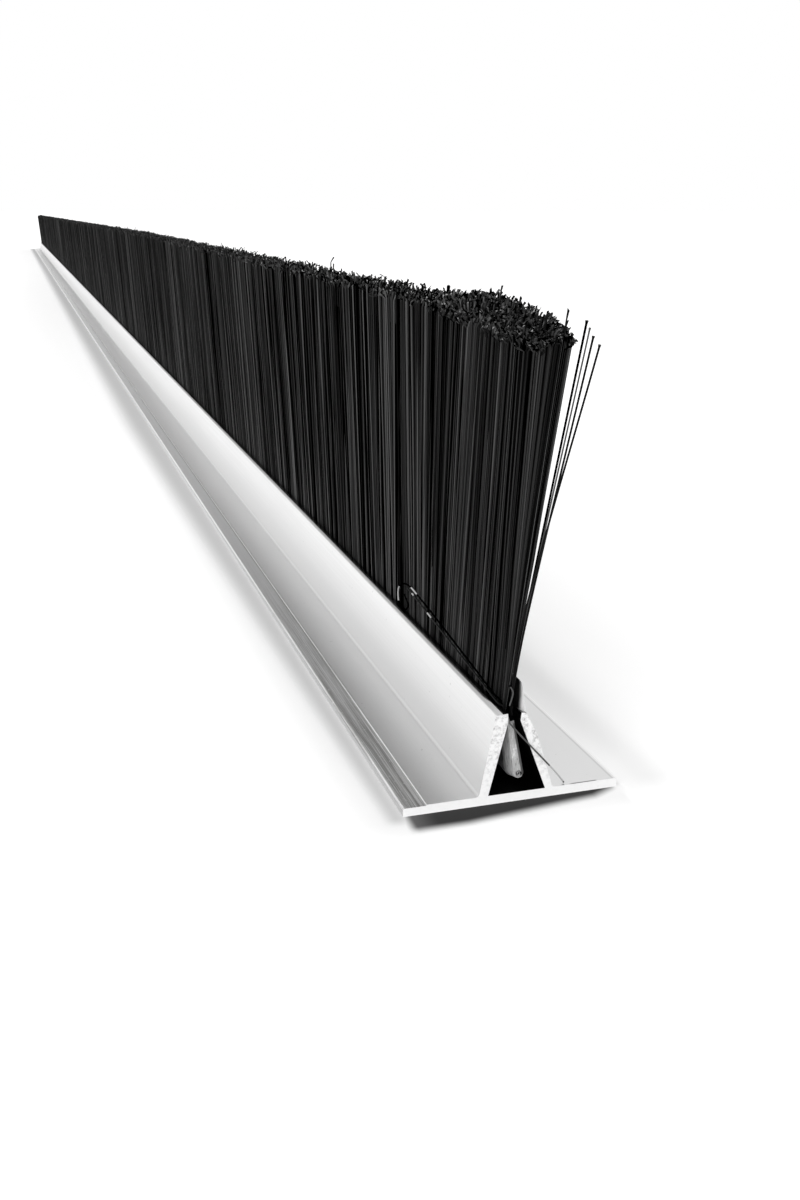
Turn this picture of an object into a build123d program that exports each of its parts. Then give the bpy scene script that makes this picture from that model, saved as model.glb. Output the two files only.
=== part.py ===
from build123d import *
import math
import os
import random

# Door bottom brush: an aluminium holder bar with a strip brush of black bristles in its slot.
# Millimetres. X runs across the flange, Y along the bar, Z up from the flange's underside to the tips.
# The origin is the middle of the flange's underside, and the near end is the one at -Y.

# Driving sizes of the bar
BAR_LENGTH = 2000.0
FLANGE_WIDTH = 24.0
FLANGE_THICKNESS = 1.0
TIP_HEIGHT = 51.0
BRISTLE_DIAMETER = 0.2

NEAR_END = -BAR_LENGTH / 2
FAR_END = BAR_LENGTH / 2

# Holder section, as (across, up): the left wall stands steeper than the right one
LEFT_FOOT_OUTER = -3.77
LEFT_FOOT_INNER = -2.75
LEFT_TOP_OUTER = (-2.08, 9.9)
LEFT_TOP_INNER = (-0.78, 10.0)
LEFT_LIP = (-0.72, 9.07)
RIGHT_FOOT_OUTER = 4.5
RIGHT_FOOT_INNER = 3.65
RIGHT_KNEE = (2.6, 7.2)
RIGHT_TOP_OUTER = (1.3, 9.8)
RIGHT_TOP_INNER = (0.72, 9.95)
RIGHT_LIP = (0.62, 9.1)
EDGE_RADIUS = 0.2
CREASE_RADIUS = 0.4
# A fine step runs along the flange a little inside its left edge
STEP_FROM_EDGE = 2.6
STEP_DEPTH = 0.1

# Clamp strip: a folded steel channel that grips the bristles round a wire
SHEET = 0.3
WIRE_DIAMETER = 0.6
FOLD_LAYER = 0.35
CLEARANCE = 0.01
STRIP_LEAN = 10.0
STRIP_MOUTH = (-0.064, 8.66)
STRIP_MOUTH_HALF = 0.8
MOUTH_TO_WIRE = 6.1
STRIP_RECESS = 2.5
WIRE_RECESS = 0.8
# Its near end is crushed shut on the wire
CRUSHED_RECESS = 1.0
CRUSHED_RADIUS = 0.55
CRUSHED_MOUTH_HALF = 0.38

BORE_RADIUS = WIRE_DIAMETER / 2 + CLEARANCE
FOLD_RADIUS = BORE_RADIUS + FOLD_LAYER
CHANNEL_RADIUS = FOLD_RADIUS + CLEARANCE
STRIP_RADIUS = CHANNEL_RADIUS + SHEET
GRIP_HALF = STRIP_MOUTH_HALF - SHEET
FOLD_MOUTH_HALF = GRIP_HALF - CLEARANCE
LEAN_ANGLE = math.radians(STRIP_LEAN)
WIRE_CENTRE = (
    STRIP_MOUTH[0] + MOUTH_TO_WIRE * math.sin(LEAN_ANGLE),
    STRIP_MOUTH[1] - MOUTH_TO_WIRE * math.cos(LEAN_ANGLE),
)

# Torn corner of the strip at the near end: a stem in the slot and a curled flap over the right lip
FLAP_PLAN = ((0.5, NEAR_END + 3.1), (0.8, NEAR_END + 1.6), (1.3, NEAR_END + 0.4))
FLAP_FOOT = 9.97
FLAP_RIM = (
    (0.1, 13.2),
    (0.78, 13.2),
    (0.93, 12.95),
    (1.01, 12.5),
    (1.08, 11.7),
    (1.16, 10.8),
    (1.34, FLAP_FOOT),
)
FLAP_STEM_LOW = (0.3, NEAR_END + 2.0, 8.2)
FLAP_STEM_SIZE = (0.28, 1.1, 2.2)

# Pack of bristles: the root in the strip and the slot, and above the slot the body that widens to the tips
ROOT_RECESS = 2.6
SLOT_CENTRE = -0.05
SLOT_TOP = 10.0
NECK_HALF = 0.6
BODY_HALF_ROOT = 0.62
BODY_HALF_TIP = 2.6
# Upright ridges and valleys follow each other along both faces, and end in a ragged cut
RIDGE_PITCH = 1.62
RIDGE_GAPS = (0.6, 1.4)
ROOT_RELIEF = 0.08
FOOT_RELIEF = 0.05
TIP_RELIEF = (0.1, 0.42)
SIDE_LEAN = 0.15
LONG_LEAN = 0.35
TIP_RAGGED = 0.6
CUT_SLANT = 0.3
# At each end the pack leans outwards more and more over this length of tips, and its tips drop
FAN_LENGTH = 34.5
FAN_DROP = 1.9
TIP_END = BAR_LENGTH / 2 + 7.5
FAN_LEAN = TIP_END - BAR_LENGTH / 2 + ROOT_RECESS

# Single bristles at the near end, as (across, in from the end, up). Four are splayed off the pack.
SPLAYED_ROOTS = ((-0.19, 1.98, 8.92), (0.03, 1.92, 8.91), (0.18, 1.91, 8.91), (-0.06, 1.67, 8.99))
SPLAYED_TIPS = ((2.2, -8.0, 49.8), (2.4, -8.25, 49.2), (3.1, -8.9, 47.8), (2.7, -8.4, 48.5))
# One hangs out of the slot, across the cut end and down to the flange
CROSSING_PATH = (
    (-0.5, 1.5, 9.5),
    (-0.56, 0.5, 9.4),
    (-0.56, -0.15, 8.9),
    (4.6, -0.15, 2.9),
    (6.0, 0.5, 1.11),
)
# One is kinked and stands in front of the pack
KINKED_PATH = ((-0.2, 1.0, 9.0), (-0.36, 0.8, 10.3), (-0.1, 0.8, 11.2), (0.0, 0.75, 12.0), (-0.42, 0.8, 12.8))
# One lies along the left face of the pack
LAID_PATH = (
    (-0.5, 1.9, 9.3),
    (-0.62, 1.7, 10.1),
    (-0.94, 2.3, 10.25),
    (-1.0, 6.0, 10.7),
    (-1.2, 33.0, 13.7),
)
# One runs beside it and ends in a curl
CURLED_PATH = (
    (-0.45, 2.35, 9.5),
    (-0.72, 2.25, 10.55),
    (-1.02, 3.1, 10.85),
    (-1.12, 9.0, 11.7),
    (-1.28, 30.5, 14.2),
    (-1.34, 34.0, 14.0),
    (-1.32, 36.6, 12.6),
    (-1.2, 36.8, 10.7),
    (-1.16, 34.2, 10.5),
    (-1.28, 32.6, 11.6),
    (-1.6, 33.2, 12.9),
)
BRISTLE_SIDES = 6


def section_plane(y):
    """The upright plane across the bar at y: local x is across, and local y is up."""
    return Plane(origin=(0, y, 0), x_dir=(1, 0, 0), z_dir=(0, -1, 0))


def run_along(section, near, far):
    """A section drawn as (across, up), run along the bar from near to far."""
    return extrude(section_plane(far) * section, amount=far - near)


def polygon(points):
    """A face inside a closed run of straight edges."""
    return make_face(Polyline(*points, close=True))


def rounded(face, corners, radius):
    """The face with the corners nearest to the given points rounded."""
    chosen = [face.vertices().sort_by_distance((*corner, 0))[0] for corner in corners]
    return fillet(chosen, radius)


def carrier_profile():
    """The extruded holder: a flat flange and two walls that lean in to a narrow slot."""
    half = FLANGE_WIDTH / 2
    step = -half + STEP_FROM_EDGE
    left_foot = (LEFT_FOOT_OUTER, FLANGE_THICKNESS)
    right_foot = (RIGHT_FOOT_OUTER, FLANGE_THICKNESS)
    left_edge = (-half, FLANGE_THICKNESS - STEP_DEPTH)
    right_edge = (half, FLANGE_THICKNESS)
    section = polygon([
        (-half, 0),
        (half, 0),
        right_edge,
        right_foot,
        RIGHT_KNEE,
        RIGHT_TOP_OUTER,
        RIGHT_TOP_INNER,
        RIGHT_LIP,
        (RIGHT_FOOT_INNER, FLANGE_THICKNESS),
        (LEFT_FOOT_INNER, FLANGE_THICKNESS),
        LEFT_LIP,
        LEFT_TOP_INNER,
        LEFT_TOP_OUTER,
        left_foot,
        (step, FLANGE_THICKNESS),
        (step - STEP_DEPTH, FLANGE_THICKNESS - STEP_DEPTH),
        left_edge,
    ])
    section = rounded(section, [left_foot, right_foot], CREASE_RADIUS)
    section = rounded(section, [left_edge, right_edge, LEFT_TOP_OUTER], EDGE_RADIUS)
    return run_along(section, NEAR_END, FAR_END)


def channel_section(radius, mouth_half, reach=0.0):
    """A round-bottomed shape about the wire whose sides close in to a mouth, and reach on past it."""
    top_half = mouth_half - (radius - mouth_half) * reach / MOUTH_TO_WIRE
    top = MOUTH_TO_WIRE + reach
    return polygon([(-radius, 0), (radius, 0), (top_half, top), (-top_half, top)]) + Circle(radius)


def leaning(section):
    """A section drawn about the wire, moved to where the strip leans in the chamber."""
    return Pos(*WIRE_CENTRE) * Rot(0, 0, STRIP_LEAN) * section


def strip_flap(gap=0.0):
    """The stem and curled flap of the torn corner, or the room that they need with a gap round them."""
    plan = trace(ThreePointArc(*FLAP_PLAN), line_width=SHEET + 2 * gap)
    inner, top = FLAP_RIM[0]
    curled = extrude(Pos(0, 0, FLAP_FOOT) * plan, amount=top - FLAP_FOOT + gap)
    outline = polygon([(inner, FLAP_FOOT), *FLAP_RIM])
    flap = curled & run_along(offset(outline, gap) if gap else outline, NEAR_END, NEAR_END + FAN_LENGTH)
    middle = [low + size / 2 for low, size in zip(FLAP_STEM_LOW, FLAP_STEM_SIZE)]
    stem = Pos(*middle) * Box(*[size + 2 * gap for size in FLAP_STEM_SIZE])
    return flap + stem


def crushed_end():
    """The strip's near end, where its two legs close on each other and on the wire."""
    opened = leaning(channel_section(STRIP_RADIUS, STRIP_MOUTH_HALF))
    closed = leaning(channel_section(CRUSHED_RADIUS, CRUSHED_MOUTH_HALF))
    near, far = NEAR_END + CRUSHED_RECESS, NEAR_END + STRIP_RECESS
    crushed = loft([section_plane(near) * closed, section_plane(far) * opened], ruled=True)
    return crushed - run_along(leaning(Circle(BORE_RADIUS)), near - SHEET, far + SHEET)


def clamp_strip():
    """The folded steel channel, with the crushed end and the torn corner at its near end."""
    outside = channel_section(STRIP_RADIUS, STRIP_MOUTH_HALF)
    inside = channel_section(CHANNEL_RADIUS, GRIP_HALF, SHEET)
    channel = run_along(leaning(outside - inside), NEAR_END + STRIP_RECESS, FAR_END - STRIP_RECESS)
    return channel + crushed_end() + strip_flap()


def core_wire():
    """The wire that the bristles are folded round."""
    section = leaning(Circle(WIRE_DIAMETER / 2))
    return run_along(section, NEAR_END + WIRE_RECESS, FAR_END - STRIP_RECESS)


def pack_root():
    """The root folded round the wire, and the neck of bristles up through the slot."""
    fold = leaning(channel_section(FOLD_RADIUS, FOLD_MOUTH_HALF))
    bore = leaning(Circle(BORE_RADIUS))
    mouth_x = FOLD_MOUTH_HALF * math.cos(LEAN_ANGLE)
    mouth_z = FOLD_MOUTH_HALF * math.sin(LEAN_ANGLE)
    neck = polygon([
        (STRIP_MOUTH[0] - mouth_x, STRIP_MOUTH[1] - mouth_z),
        (STRIP_MOUTH[0] + mouth_x, STRIP_MOUTH[1] + mouth_z),
        (SLOT_CENTRE + NECK_HALF, RIGHT_LIP[1]),
        (SLOT_CENTRE + NECK_HALF, SLOT_TOP),
        (SLOT_CENTRE - NECK_HALF, SLOT_TOP),
        (SLOT_CENTRE - NECK_HALF, LEFT_LIP[1]),
    ])
    return run_along(fold + neck - bore, NEAR_END + ROOT_RECESS, FAR_END - ROOT_RECESS)


def into_fan(y):
    """How far the tips at y are into the fan at their end of the pack, from 0 to 1."""
    return max(0.0, 1 - (TIP_END - abs(y)) / FAN_LENGTH)


def ridge_places(draw):
    """Where the ridges and valleys stand along the tips: unevenly, and closer together in the fans."""
    places = [-TIP_END]
    while TIP_END - places[-1] > 2 * RIDGE_PITCH:
        here = places[-1]
        places.append(here + RIDGE_PITCH * draw.uniform(*RIDGE_GAPS) * (1 - into_fan(here) / 2))
    return places + [TIP_END]


def pack_corners(y, stand, draw):
    """The pack's corners at one ridge (stand 1) or valley (-1): roots left and right, tips right and left."""
    fan = into_fan(y)
    root_y = y - math.copysign(FAN_LEAN * fan ** 2, y)
    tip_y = y + draw.uniform(-LONG_LEAN, LONG_LEAN) * (1 - fan)
    tip_centre = SLOT_CENTRE + draw.uniform(-SIDE_LEAN, SIDE_LEAN)
    root_half = BODY_HALF_ROOT + stand * ROOT_RELIEF
    tip_half = BODY_HALF_TIP + stand * draw.uniform(*TIP_RELIEF)
    height = TIP_HEIGHT - FAN_DROP * fan ** 2 + draw.uniform(-TIP_RAGGED, TIP_RAGGED)
    slant = draw.uniform(-CUT_SLANT, CUT_SLANT)
    foot = SLOT_TOP + CLEARANCE + FOOT_RELIEF * (1 - stand) / 2
    return [
        (SLOT_CENTRE - root_half, root_y, foot),
        (SLOT_CENTRE + root_half, root_y, foot),
        (tip_centre + tip_half, tip_y, height + slant),
        (tip_centre - tip_half, tip_y, height - slant),
    ]


def flat_faces(*corners):
    """The faces between four corners: two triangles that share an edge."""
    first, second, third, fourth = corners
    return [Face(Wire.make_polygon([first, second, third])), Face(Wire.make_polygon([first, third, fourth]))]


def pack_body():
    """The bristles above the slot as one closed form, ridged on both faces and fanned out at both ends."""
    draw = random.Random(7)
    rows = [pack_corners(y, 1 if turn % 2 else -1, draw) for turn, y in enumerate(ridge_places(draw))]
    faces = flat_faces(*rows[0]) + flat_faces(*rows[-1])
    for here, after in zip(rows, rows[1:]):
        for corner in range(4):
            following = (corner + 1) % 4
            faces += flat_faces(here[corner], here[following], after[following], after[corner])
    return Solid(Shell(faces))


def bristle_curtain():
    """The whole pack: its root and its body meet at the top of the slot, with room for the strip's flap."""
    room = strip_flap(gap=2 * CLEARANCE)
    cleared = [pack_root() - room, pack_body() - room]
    # The flap cuts a chip off the pack's right face, which the torn corner pushes away
    return Compound([max(shape.solids(), key=lambda solid: solid.volume) for shape in cleared])


def bristle(points):
    """A single bristle along a bent path, from points given inwards from the near end."""
    path = Polyline(*[(x, NEAR_END + inwards, z) for x, inwards, z in points])
    start = Plane(origin=path @ 0, z_dir=path % 0)
    section = RegularPolygon(BRISTLE_DIAMETER / 2, BRISTLE_SIDES)
    return sweep(start * section, path=path, transition=Transition.RIGHT)


def splayed_bristles():
    """The single bristles that stand off the near end of the pack."""
    return Compound([bristle(ends).solid() for ends in zip(SPLAYED_ROOTS, SPLAYED_TIPS)])


def main():
    """Build every piece and write one file for each."""
    nodes = {
        "carrier_profile": carrier_profile(),
        "clamp_strip": clamp_strip(),
        "core_wire": core_wire(),
        "bristle_curtain": bristle_curtain(),
        "splayed_bristles": splayed_bristles(),
        "crossing_bristle": bristle(CROSSING_PATH),
        "kinked_bristle": bristle(KINKED_PATH),
        "laid_bristle": bristle(LAID_PATH),
        "curled_bristle": bristle(CURLED_PATH),
    }
    os.makedirs("parts", exist_ok=True)
    for name, shape in nodes.items():
        export_step(shape, f"parts/{name}.step")


main()
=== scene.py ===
"""Looks of a door bottom brush: an aluminium holder bar with a strip brush of black bristles.

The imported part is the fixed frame. The holder, the clamp strip and the core wire keep their own shapes
and get finishes. The bristles are built here one by one in place of the plain pack.
"""

from __future__ import annotations

import logging
from dataclasses import dataclass, field
from enum import Enum
from typing import Any, Sequence

import bpy
import numpy as np
from mathutils import Matrix, Vector

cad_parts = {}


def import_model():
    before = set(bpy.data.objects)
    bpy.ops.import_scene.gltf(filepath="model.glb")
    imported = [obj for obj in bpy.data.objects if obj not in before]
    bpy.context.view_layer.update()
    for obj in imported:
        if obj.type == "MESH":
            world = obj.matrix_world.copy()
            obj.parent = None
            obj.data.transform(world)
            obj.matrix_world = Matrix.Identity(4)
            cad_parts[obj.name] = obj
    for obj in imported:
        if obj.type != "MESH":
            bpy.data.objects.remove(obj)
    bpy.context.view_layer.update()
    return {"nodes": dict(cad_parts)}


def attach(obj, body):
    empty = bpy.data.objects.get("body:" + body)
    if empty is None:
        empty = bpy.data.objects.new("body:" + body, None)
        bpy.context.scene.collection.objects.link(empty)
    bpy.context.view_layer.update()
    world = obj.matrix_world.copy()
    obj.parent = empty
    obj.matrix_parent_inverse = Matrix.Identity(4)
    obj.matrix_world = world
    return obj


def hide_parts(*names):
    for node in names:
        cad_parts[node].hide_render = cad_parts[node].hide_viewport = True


LOG = logging.getLogger("door_bottom_brush")

MM = 0.001
BODY = "root"
# The map that a finish is laid out on
SURFACE_MAP = "OFBake"

Point = tuple[float, float, float]
# The middle and the width of a mask's rise
Edge = tuple[float, float]


class Slot(Enum):
    """The part's material slots."""

    ALUMINIUM = "mill_aluminium"
    STRIP = "galvanised_strip"
    WIRE = "steel_wire"
    BRISTLE = "black_bristle"


class PaintedLight(Enum):
    """How pale and how glossy a filament's side is, from deep black to a glint: lit and shaded copies of one
    black plastic, which paint highlights and shade onto the filaments.
    """

    BLACK = (0.0003, 0.0)
    DIM = (0.0055, 0.05)
    PLAIN = (0.025, 0.12)
    PALE = (0.085, 0.2)
    GLINT = (0.5, 0.5)


class Cut(Enum):
    """How pale and how glossy a filament's cut end is: lit and shaded copies, which paint highlights and
    shade onto the cut tips.
    """

    DARK = (0.001, 0.0)
    PLAIN = (0.03, 0.15)
    PALE = (0.3, 0.3)


class Wire:
    """One output of a shader node, with arithmetic that adds Math nodes."""

    def __init__(self, graph: Graph, socket: bpy.types.NodeSocket) -> None:
        """Wrap a socket.

        Args:
            graph: The graph that the socket belongs to.
            socket: The output socket.
        """
        self.graph = graph
        self.socket = socket

    def apply(self, operation: str, *others: Wire | float, swapped: bool = False) -> Wire:
        """Add a Math node.

        Args:
            operation: The Math node's operation.
            others: The values beside this one.
            swapped: Whether this value comes second.

        Returns:
            The result.
        """
        values = [*others, self] if swapped else [self, *others]
        node = self.graph.node("ShaderNodeMath", {"operation": operation}, dict(enumerate(values)))
        return Wire(self.graph, node.outputs[0])

    def __add__(self, other: Wire | float) -> Wire:
        """The sum."""
        return self.apply("ADD", other)

    def __radd__(self, other: float) -> Wire:
        """The sum, with a number first."""
        return self.apply("ADD", other, swapped=True)

    def __sub__(self, other: Wire | float) -> Wire:
        """The difference."""
        return self.apply("SUBTRACT", other)

    def __rsub__(self, other: float) -> Wire:
        """The difference, with a number first."""
        return self.apply("SUBTRACT", other, swapped=True)

    def __mul__(self, other: Wire | float) -> Wire:
        """The product."""
        return self.apply("MULTIPLY", other)

    def __rmul__(self, other: float) -> Wire:
        """The product, with a number first."""
        return self.apply("MULTIPLY", other, swapped=True)

    def __truediv__(self, other: Wire | float) -> Wire:
        """The quotient."""
        return self.apply("DIVIDE", other)

    def __neg__(self) -> Wire:
        """The value with its sign turned."""
        return self.apply("MULTIPLY", -1.0)

    def __abs__(self) -> Wire:
        """The size without its sign."""
        return self.apply("ABSOLUTE")

    def at_least(self, low: Wire | float) -> Wire:
        """The larger of this and low."""
        return self.apply("MAXIMUM", low)

    def at_most(self, high: Wire | float) -> Wire:
        """The smaller of this and high."""
        return self.apply("MINIMUM", high)

    def over(self, edge: Wire | float, blur: float) -> Wire:
        """A mask of where this passes an edge.

        Args:
            edge: The value in the middle of the mask's rise.
            blur: How wide the rise is.

        Returns:
            0 below the edge and 1 above it, with a smooth rise.
        """
        limits = {"From Min": edge - blur / 2, "From Max": edge + blur / 2, "Value": self}
        node = self.graph.node("ShaderNodeMapRange", {"interpolation_type": "SMOOTHSTEP"}, limits)
        return Wire(self.graph, node.outputs[0])

    def spread(self, low: float, high: float) -> Wire:
        """This value from 0 to 1, laid out between two numbers."""
        return self * (high - low) + low


Input = Wire | float | Sequence[float]


@dataclass(frozen=True)
class Cloud:
    """How fine a cloudy pattern is."""

    # Clouds in a millimetre across, along and up
    per_mm: Point
    # How many finer layers it has, and how strong they are
    detail: float = 2.0
    roughness: float = 0.5


class Graph:
    """A tree of shader nodes under construction."""

    def __init__(self, tree: bpy.types.NodeTree) -> None:
        """Start with an empty tree.

        Args:
            tree: The tree of a material or of the world.
        """
        self.tree = tree
        self.tree.nodes.clear()

    def node(
        self,
        kind: str,
        settings: dict[str, Any] | None = None,
        inputs: dict[str | int, Input] | None = None,
    ) -> bpy.types.Node:
        """Add a node.

        Args:
            kind: The node's type.
            settings: Its properties, which are set first.
            inputs: Values or wires by the socket's name or number.

        Returns:
            The new node.
        """
        made = self.tree.nodes.new(kind)
        for name, value in (settings or {}).items():
            setattr(made, name, value)
        for name, value in (inputs or {}).items():
            socket = made.inputs[name]
            if isinstance(value, Wire):
                self.tree.links.new(value.socket, socket)
            else:
                socket.default_value = value
        return made

    def place(self) -> Wire:
        """The place in metres in the part's frame."""
        return Wire(self, self.node("ShaderNodeTexCoord").outputs["Object"])

    def parts(self, vector: Wire) -> tuple[Wire, Wire, Wire]:
        """A vector split into across, along and up."""
        split = self.node("ShaderNodeSeparateXYZ", inputs={0: vector})
        return tuple(Wire(self, output) for output in split.outputs)

    def axes(self) -> tuple[Wire, Wire, Wire]:
        """The place split into across, along and up, in millimetres."""
        return self.parts(self.scaled(self.place(), (1 / MM, 1 / MM, 1 / MM)))

    def seen(self) -> Wire:
        """1 for the camera and for what gloss and glass show, else 0."""
        path = {output.name: Wire(self, output) for output in self.node("ShaderNodeLightPath").outputs}
        return path["Is Camera Ray"].at_least(path["Is Glossy Ray"]).at_least(path["Is Transmission Ray"])

    def scaled(self, vector: Wire, factors: Sequence[float]) -> Wire:
        """A vector with each part multiplied.

        Args:
            vector: The vector.
            factors: One factor for each part.

        Returns:
            The product.
        """
        node = self.node("ShaderNodeVectorMath", {"operation": "MULTIPLY"}, {0: vector, 1: factors})
        return Wire(self, node.outputs[0])

    def noise(self, cloud: Cloud) -> Wire:
        """A cloudy pattern.

        Args:
            cloud: How fine it is.

        Returns:
            A value round 0.5.
        """
        vector = self.scaled(self.place(), [rate / MM for rate in cloud.per_mm])
        inputs = {"Vector": vector, "Scale": 1.0, "Detail": cloud.detail, "Roughness": cloud.roughness}
        return Wire(self, self.node("ShaderNodeTexNoise", inputs=inputs).outputs[0])

    def mix(self, share: Wire | float, first: Input, second: Input) -> Wire:
        """A mix of two colours.

        Args:
            share: How much of the second there is.
            first: The first colour.
            second: The second colour.

        Returns:
            The mixed colour.
        """
        settings = {"data_type": "RGBA", "clamp_factor": True}
        node = self.node("ShaderNodeMix", settings, {"Factor": share, 6: first, 7: second})
        return Wire(self, node.outputs[2])

    def bump(self, height: Wire, strength: float, depth_mm: float) -> Wire:
        """A normal from a height.

        Args:
            height: The height, from 0 to 1.
            strength: The Bump node's strength.
            depth_mm: How far the height reaches.

        Returns:
            The bent normal.
        """
        inputs = {"Height": height, "Strength": strength, "Distance": depth_mm * MM}
        return Wire(self, self.node("ShaderNodeBump", inputs=inputs).outputs[0])

    def principled(self, inputs: dict[str, Input]) -> Wire:
        """A Principled shader with its own values and wires."""
        return Wire(self, self.node("ShaderNodeBsdfPrincipled", inputs=inputs).outputs[0])


class Shader(Graph):
    """A material under construction."""

    def __init__(self, name: str) -> None:
        """Start an empty material.

        Args:
            name: The material's name.
        """
        self.material = bpy.data.materials.new(name)
        self.material.use_nodes = True
        super().__init__(self.material.node_tree)

    def close(self, surface: Wire) -> bpy.types.Material:
        """Close the material.

        Args:
            surface: The surface that it shows.

        Returns:
            The finished material.
        """
        self.node("ShaderNodeOutputMaterial", inputs={0: surface})
        return self.material

    def finish(self, inputs: dict[str, Input]) -> bpy.types.Material:
        """Close the material with a Principled shader.

        Args:
            inputs: The shader's own values and wires.

        Returns:
            The finished material.
        """
        return self.close(self.principled(inputs))


def grey(level: float) -> tuple[float, float, float, float]:
    """A neutral colour."""
    return (level, level, level, 1.0)


@dataclass(frozen=True)
class MillAluminium:
    """Extruded aluminium as it leaves the die, with bright sawn ends."""

    # How light each part is
    face: float = 0.97
    # The walls' foot, the crease and the flange are darker than the walls' face, as painted shade
    foot: float = 0.75
    crease: float = 0.62
    flange: float = 0.76
    worn: float = 0.86
    scoured: Sequence[float] = (0.2, 0.195, 0.185, 1.0)
    pitted: float = 0.85
    speck: float = 0.4
    dark_edge: float = 0.02
    sawn: float = 0.98
    # The black of the painted shade in the chamber and on the left wall's flat top
    inside: float = 0.004
    # How light parts of the flange and of the sawn end are beside the rest of them; the far left edge is
    # lighter as painted light, and the right edge has a painted shade line and a painted highlight band
    drawn_share: float = 0.94
    far_share: float = 1.2
    step_share: float = 0.7
    shade_line_share: float = 0.78
    rim_share: float = 1.1
    torn_share: float = 0.22
    metallic: float = 0.88
    roughness: float = 0.36
    # Patterns
    lines: Cloud = Cloud((7.0, 0.01, 7.0), 3.0, 0.6)
    fine_lines: Cloud = Cloud((26.0, 0.05, 26.0))
    clouds: Cloud = Cloud((0.25, 0.012, 0.25), 3.0)
    streaks: Cloud = Cloud((6.0, 0.04, 6.0), 4.0, 0.75)
    ragged: Cloud = Cloud((0.8, 0.05, 0.8), 4.0, 0.7)
    pits: Cloud = Cloud((2.2, 1.2, 2.2))
    specks: Cloud = Cloud((1.6, 1.6, 1.6), 1.0)
    mottle: Cloud = Cloud((1.5, 1.5, 1.5), 5.0, 0.7)
    # The bar's own sizes
    half_width: float = 12.0
    half_length: float = 1000.0
    thickness: float = 1.0
    left_foot: float = -3.26
    left_slope: float = 0.219
    right_foot: float = 4.07
    right_slope: float = 0.345
    # Where marks run along the bar, and the middle and width of their edges
    step_at: float = -9.5
    step_edge: Edge = (0.22, 0.12)
    shade_line_at: float = 11.48
    shade_line_edge: Edge = (0.1, 0.1)
    rim_edge: Edge = (11.68, 0.08)
    left_edge: Edge = (6.0, 4.0)
    far_edge: Edge = (-900.0, 150.0)
    step_end: Edge = (-975.0, 60.0)
    flange_top: Edge = (1.1, 0.1)
    wall_edge: Edge = (5.0, 7.0)
    crease_at: float = -3.88
    crease_edge: Edge = (0.12, 0.25)
    band: float = 2.5
    band_shift: float = 0.8
    band_blur: float = 0.9
    band_end: Edge = (-950.0, 140.0)
    top_at: float = -1.53
    top_shift: float = 0.5
    near_end: Edge = (996.5, 4.0)
    # How strong the marks are, and the painted shade on the left wall's flat top
    pit_depth: float = 0.6
    worn_depth: float = 0.9
    speck_depth: float = 0.35
    dark_edge_depth: float = 0.75
    top_depth: float = 0.7

    def chamber(self, across: Wire, up: Wire) -> Wire:
        """The faces between the two walls, which get a black painted shade.

        Args:
            across: The place across the bar.
            up: The place above the floor.

        Returns:
            A mask.
        """
        risen = up - self.thickness
        past_left = (across - self.left_foot - risen * self.left_slope).over(0.0, 0.1)
        before_right = (self.right_foot - risen * self.right_slope - across).over(0.0, 0.1)
        return past_left * before_right * up.over(0.9, 0.05)

    def outer_band(self, shader: Shader, across: Wire, along: Wire, up: Wire) -> Wire:
        """The dark, streaky strip of the flange outside the fine step.

        Args:
            shader: The material.
            across: The place across the bar.
            along: The place along it.
            up: The place above the floor.

        Returns:
            A mask.
        """
        wander = shader.noise(self.ragged) * (2 * self.band_shift)
        band = (-across + wander - self.band_shift).over(self.half_width - self.band, self.band_blur)
        band = band * (1 - up.over(1.4, 0.2)) * up.over(0.6, 0.2)
        return band * (1 - along.over(*self.band_end))

    def walls(self, shader: Shader, lines: Wire, up: Wire) -> Wire:
        """The colour of the walls, which get darker towards their foot, as painted shade.

        Args:
            shader: The material.
            lines: The extrusion lines.
            up: The place above the floor.

        Returns:
            The colour.
        """
        drawn = (lines * 0.55 + shader.noise(self.clouds) * 0.45).over(0.5, 0.4)
        plain = shader.mix(drawn, grey(self.face * 0.9), grey(self.face))
        return shader.mix(1 - up.over(*self.wall_edge), plain, grey(self.foot))

    def flange_face(self, shader: Shader, lines: Wire, across: Wire, along: Wire) -> Wire:
        """The colour of the flange, which is lighter where its left edge goes further away, as painted light,
        with a painted shade line and a painted highlight band along its right edge.

        Args:
            shader: The material.
            lines: The extrusion lines.
            across: The place across the bar.
            along: The place along it.

        Returns:
            The colour.
        """
        far_left_light = (-across).over(*self.left_edge) * along.over(*self.far_edge)
        step = (1 - abs(across - self.step_at).over(*self.step_edge)) * along.over(*self.step_end)
        shade_line = 1 - abs(across - self.shade_line_at).over(*self.shade_line_edge)
        colour = shader.mix(lines, grey(self.flange * self.drawn_share), grey(self.flange))
        # Painted light along the far left edge, and a painted shade line and a painted highlight band along
        # the right edge
        for mask, share in (
            (far_left_light, self.far_share),
            (step, self.step_share),
            (shade_line, self.shade_line_share),
            (across.over(*self.rim_edge), self.rim_share),
        ):
            colour = shader.mix(mask, colour, grey(self.flange * share))
        return colour

    def dark_edge_mask(self, across: Wire, along: Wire, up: Wire) -> Wire:
        """The dark line along the sawn edge of the flange.

        Args:
            across: The place across the bar.
            along: The place along it.
            up: The place above the floor.

        Returns:
            A mask.
        """
        edge = abs(along).over(self.half_length - 0.22, 0.06)
        return edge * across.over(6.6, 0.6) * (1 - across.over(9.6, 0.4)) * up.over(0.9, 0.05)

    def material(self) -> bpy.types.Material:
        """Build the finish.

        Returns:
            The material.
        """
        shader = Shader("mill_aluminium")
        across, along, up = shader.axes()
        lines = shader.noise(self.lines)
        streaks = shader.noise(self.streaks)
        mottle = shader.noise(self.mottle)
        sawn = abs(along).over(self.half_length - 0.02, 0.01)
        outer = self.outer_band(shader, across, along, up)
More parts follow.
